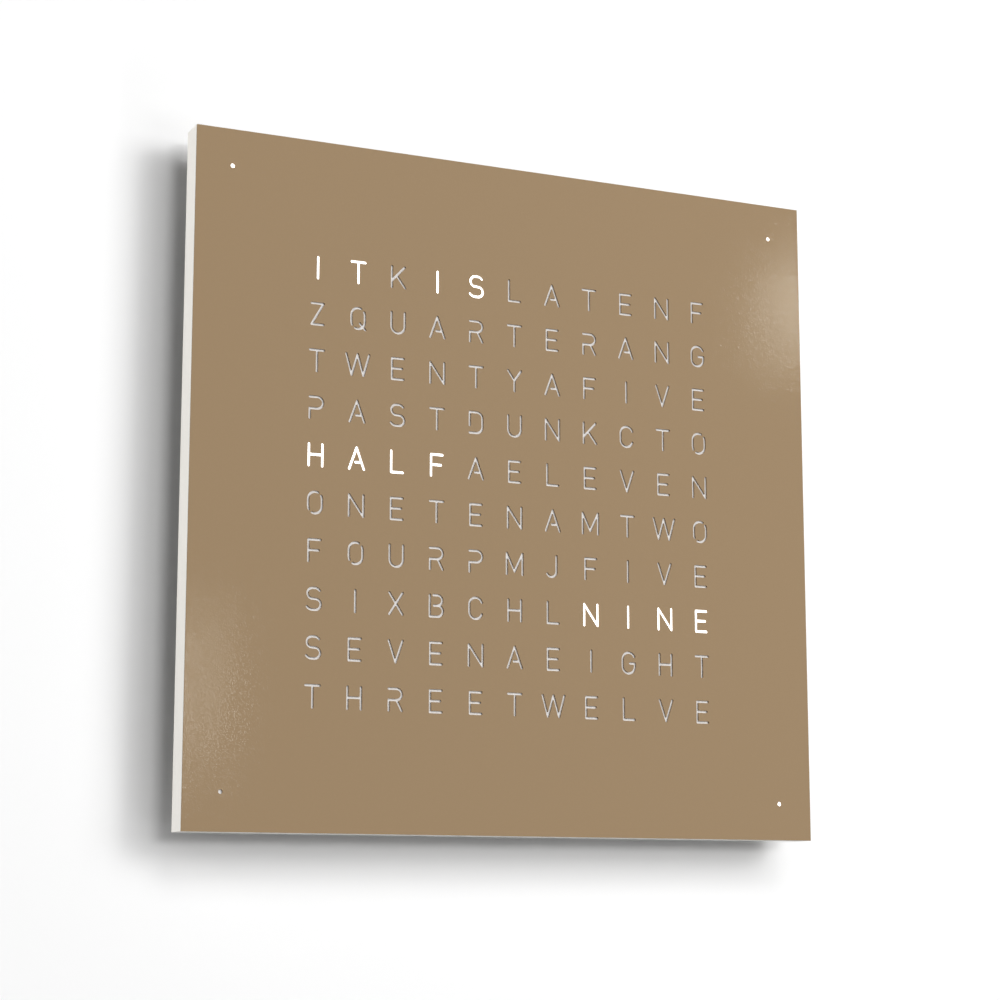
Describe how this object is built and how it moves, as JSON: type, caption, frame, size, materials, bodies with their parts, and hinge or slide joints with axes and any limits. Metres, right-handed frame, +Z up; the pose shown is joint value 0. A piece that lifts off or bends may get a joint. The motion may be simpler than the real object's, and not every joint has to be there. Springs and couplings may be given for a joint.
{
  "type": "word clock",
  "caption": "Square wall clock with a lift-off powder-coated cover, a lit letter grid, a cream case, setting buttons and a hook-on wall bracket.",
  "frame": {"origin": "middle of the wall bracket's four screw holes, on the wall plane", "axes": "+Y into the wall, +Z up, +X to the right of someone who faces the clock"},
  "size_m": [0.4506, 0.04, 0.45],
  "materials": {
    "cover_coat": "fine textured matt powder coat, sand brown",
    "case_lacquer": "satin cream-white lacquer on fibreboard",
    "panel_lacquer": "matt cream lacquer on hardboard",
    "opal_acrylic": "opal sheet",
    "clear_acrylic": "clear polished",
    "white_moulding": "matt",
    "black_moulding": "fine matt moulding",
    "button_moulding": "satin cream",
    "white_board": "white solder mask",
    "green_board": "green solder mask",
    "led_package": "white housing, yellow phosphor",
    "zinc_sheet": "zinc-plated",
    "bright_steel": "nickel-plated",
    "magnet_nickel": "nickel-plated",
    "ochre_moulding": "matt",
    "contact_brass": "bright",
    "foot_rubber": "matt"
  },
  "bodies": {
    "bracket": {"wall_bracket": "zinc_sheet"},
    "clock": {"case_frame": "case_lacquer", "cover_magnets": "magnet_nickel", "diffuser_panel": "opal_acrylic", "light_grid": "white_moulding", "dot_reflectors": "white_moulding", "letter_leds": "led_package", "dot_leds": "led_package", "led_board": "white_board", "back_panel": "panel_lacquer", "back_panel_screws": "bright_steel", "hanger_rail": "zinc_sheet", "hanger_screws": "bright_steel", "spacer_feet": "black_moulding", "foot_pads": "foot_rubber", "service_box": "black_moulding", "service_box_screws": "bright_steel", "controller_board": "green_board", "controller_chips": "black_moulding", "quartz_crystal": "bright_steel", "supply_capacitors": "ochre_moulding", "link_connector": "black_moulding", "coin_cell_holder": "black_moulding", "coin_cell": "bright_steel", "dc_jack": "black_moulding", "dc_jack_pin": "contact_brass", "button_carrier": "black_moulding", "button_board": "green_board", "button_switches": "black_moulding", "light_pipe": "clear_acrylic", "light_sensor": "led_package", "sensor_board": "green_board"},
    "cover": {"front_cover": "cover_coat", "cover_pegs": "bright_steel"},
    "hatch": {"battery_hatch": "black_moulding"},
    "mode_key": {"mode_button": "button_moulding"},
    "hour_key": {"hour_button": "button_moulding"},
    "minute_key": {"minute_button": "button_moulding"}
  },
  "joints": [
    {"name": "clock_lift", "type": "slide", "parent": "bracket", "child": "clock", "axis": [0, 0, 1], "range_m": [0, 0.03]},
    {"name": "cover_pull", "type": "slide", "parent": "clock", "child": "cover", "axis": [0, -1, 0], "range_m": [0, 0.03]},
    {"name": "hatch_slide", "type": "slide", "parent": "clock", "child": "hatch", "axis": [0, 0, -1], "range_m": [0, 0.036]},
    {"name": "mode_press", "type": "slide", "parent": "clock", "child": "mode_key", "axis": [-1, 0, 0], "range_m": [0, 0.001], "stiffness_N_per_m": 1500, "springref_m": -0.0005},
    {"name": "hour_press", "type": "slide", "parent": "clock", "child": "hour_key", "axis": [-1, 0, 0], "range_m": [0, 0.001], "stiffness_N_per_m": 1500, "springref_m": -0.0005},
    {"name": "minute_press", "type": "slide", "parent": "clock", "child": "minute_key", "axis": [-1, 0, 0], "range_m": [0, 0.001], "stiffness_N_per_m": 1500, "springref_m": -0.0005}
  ]
}
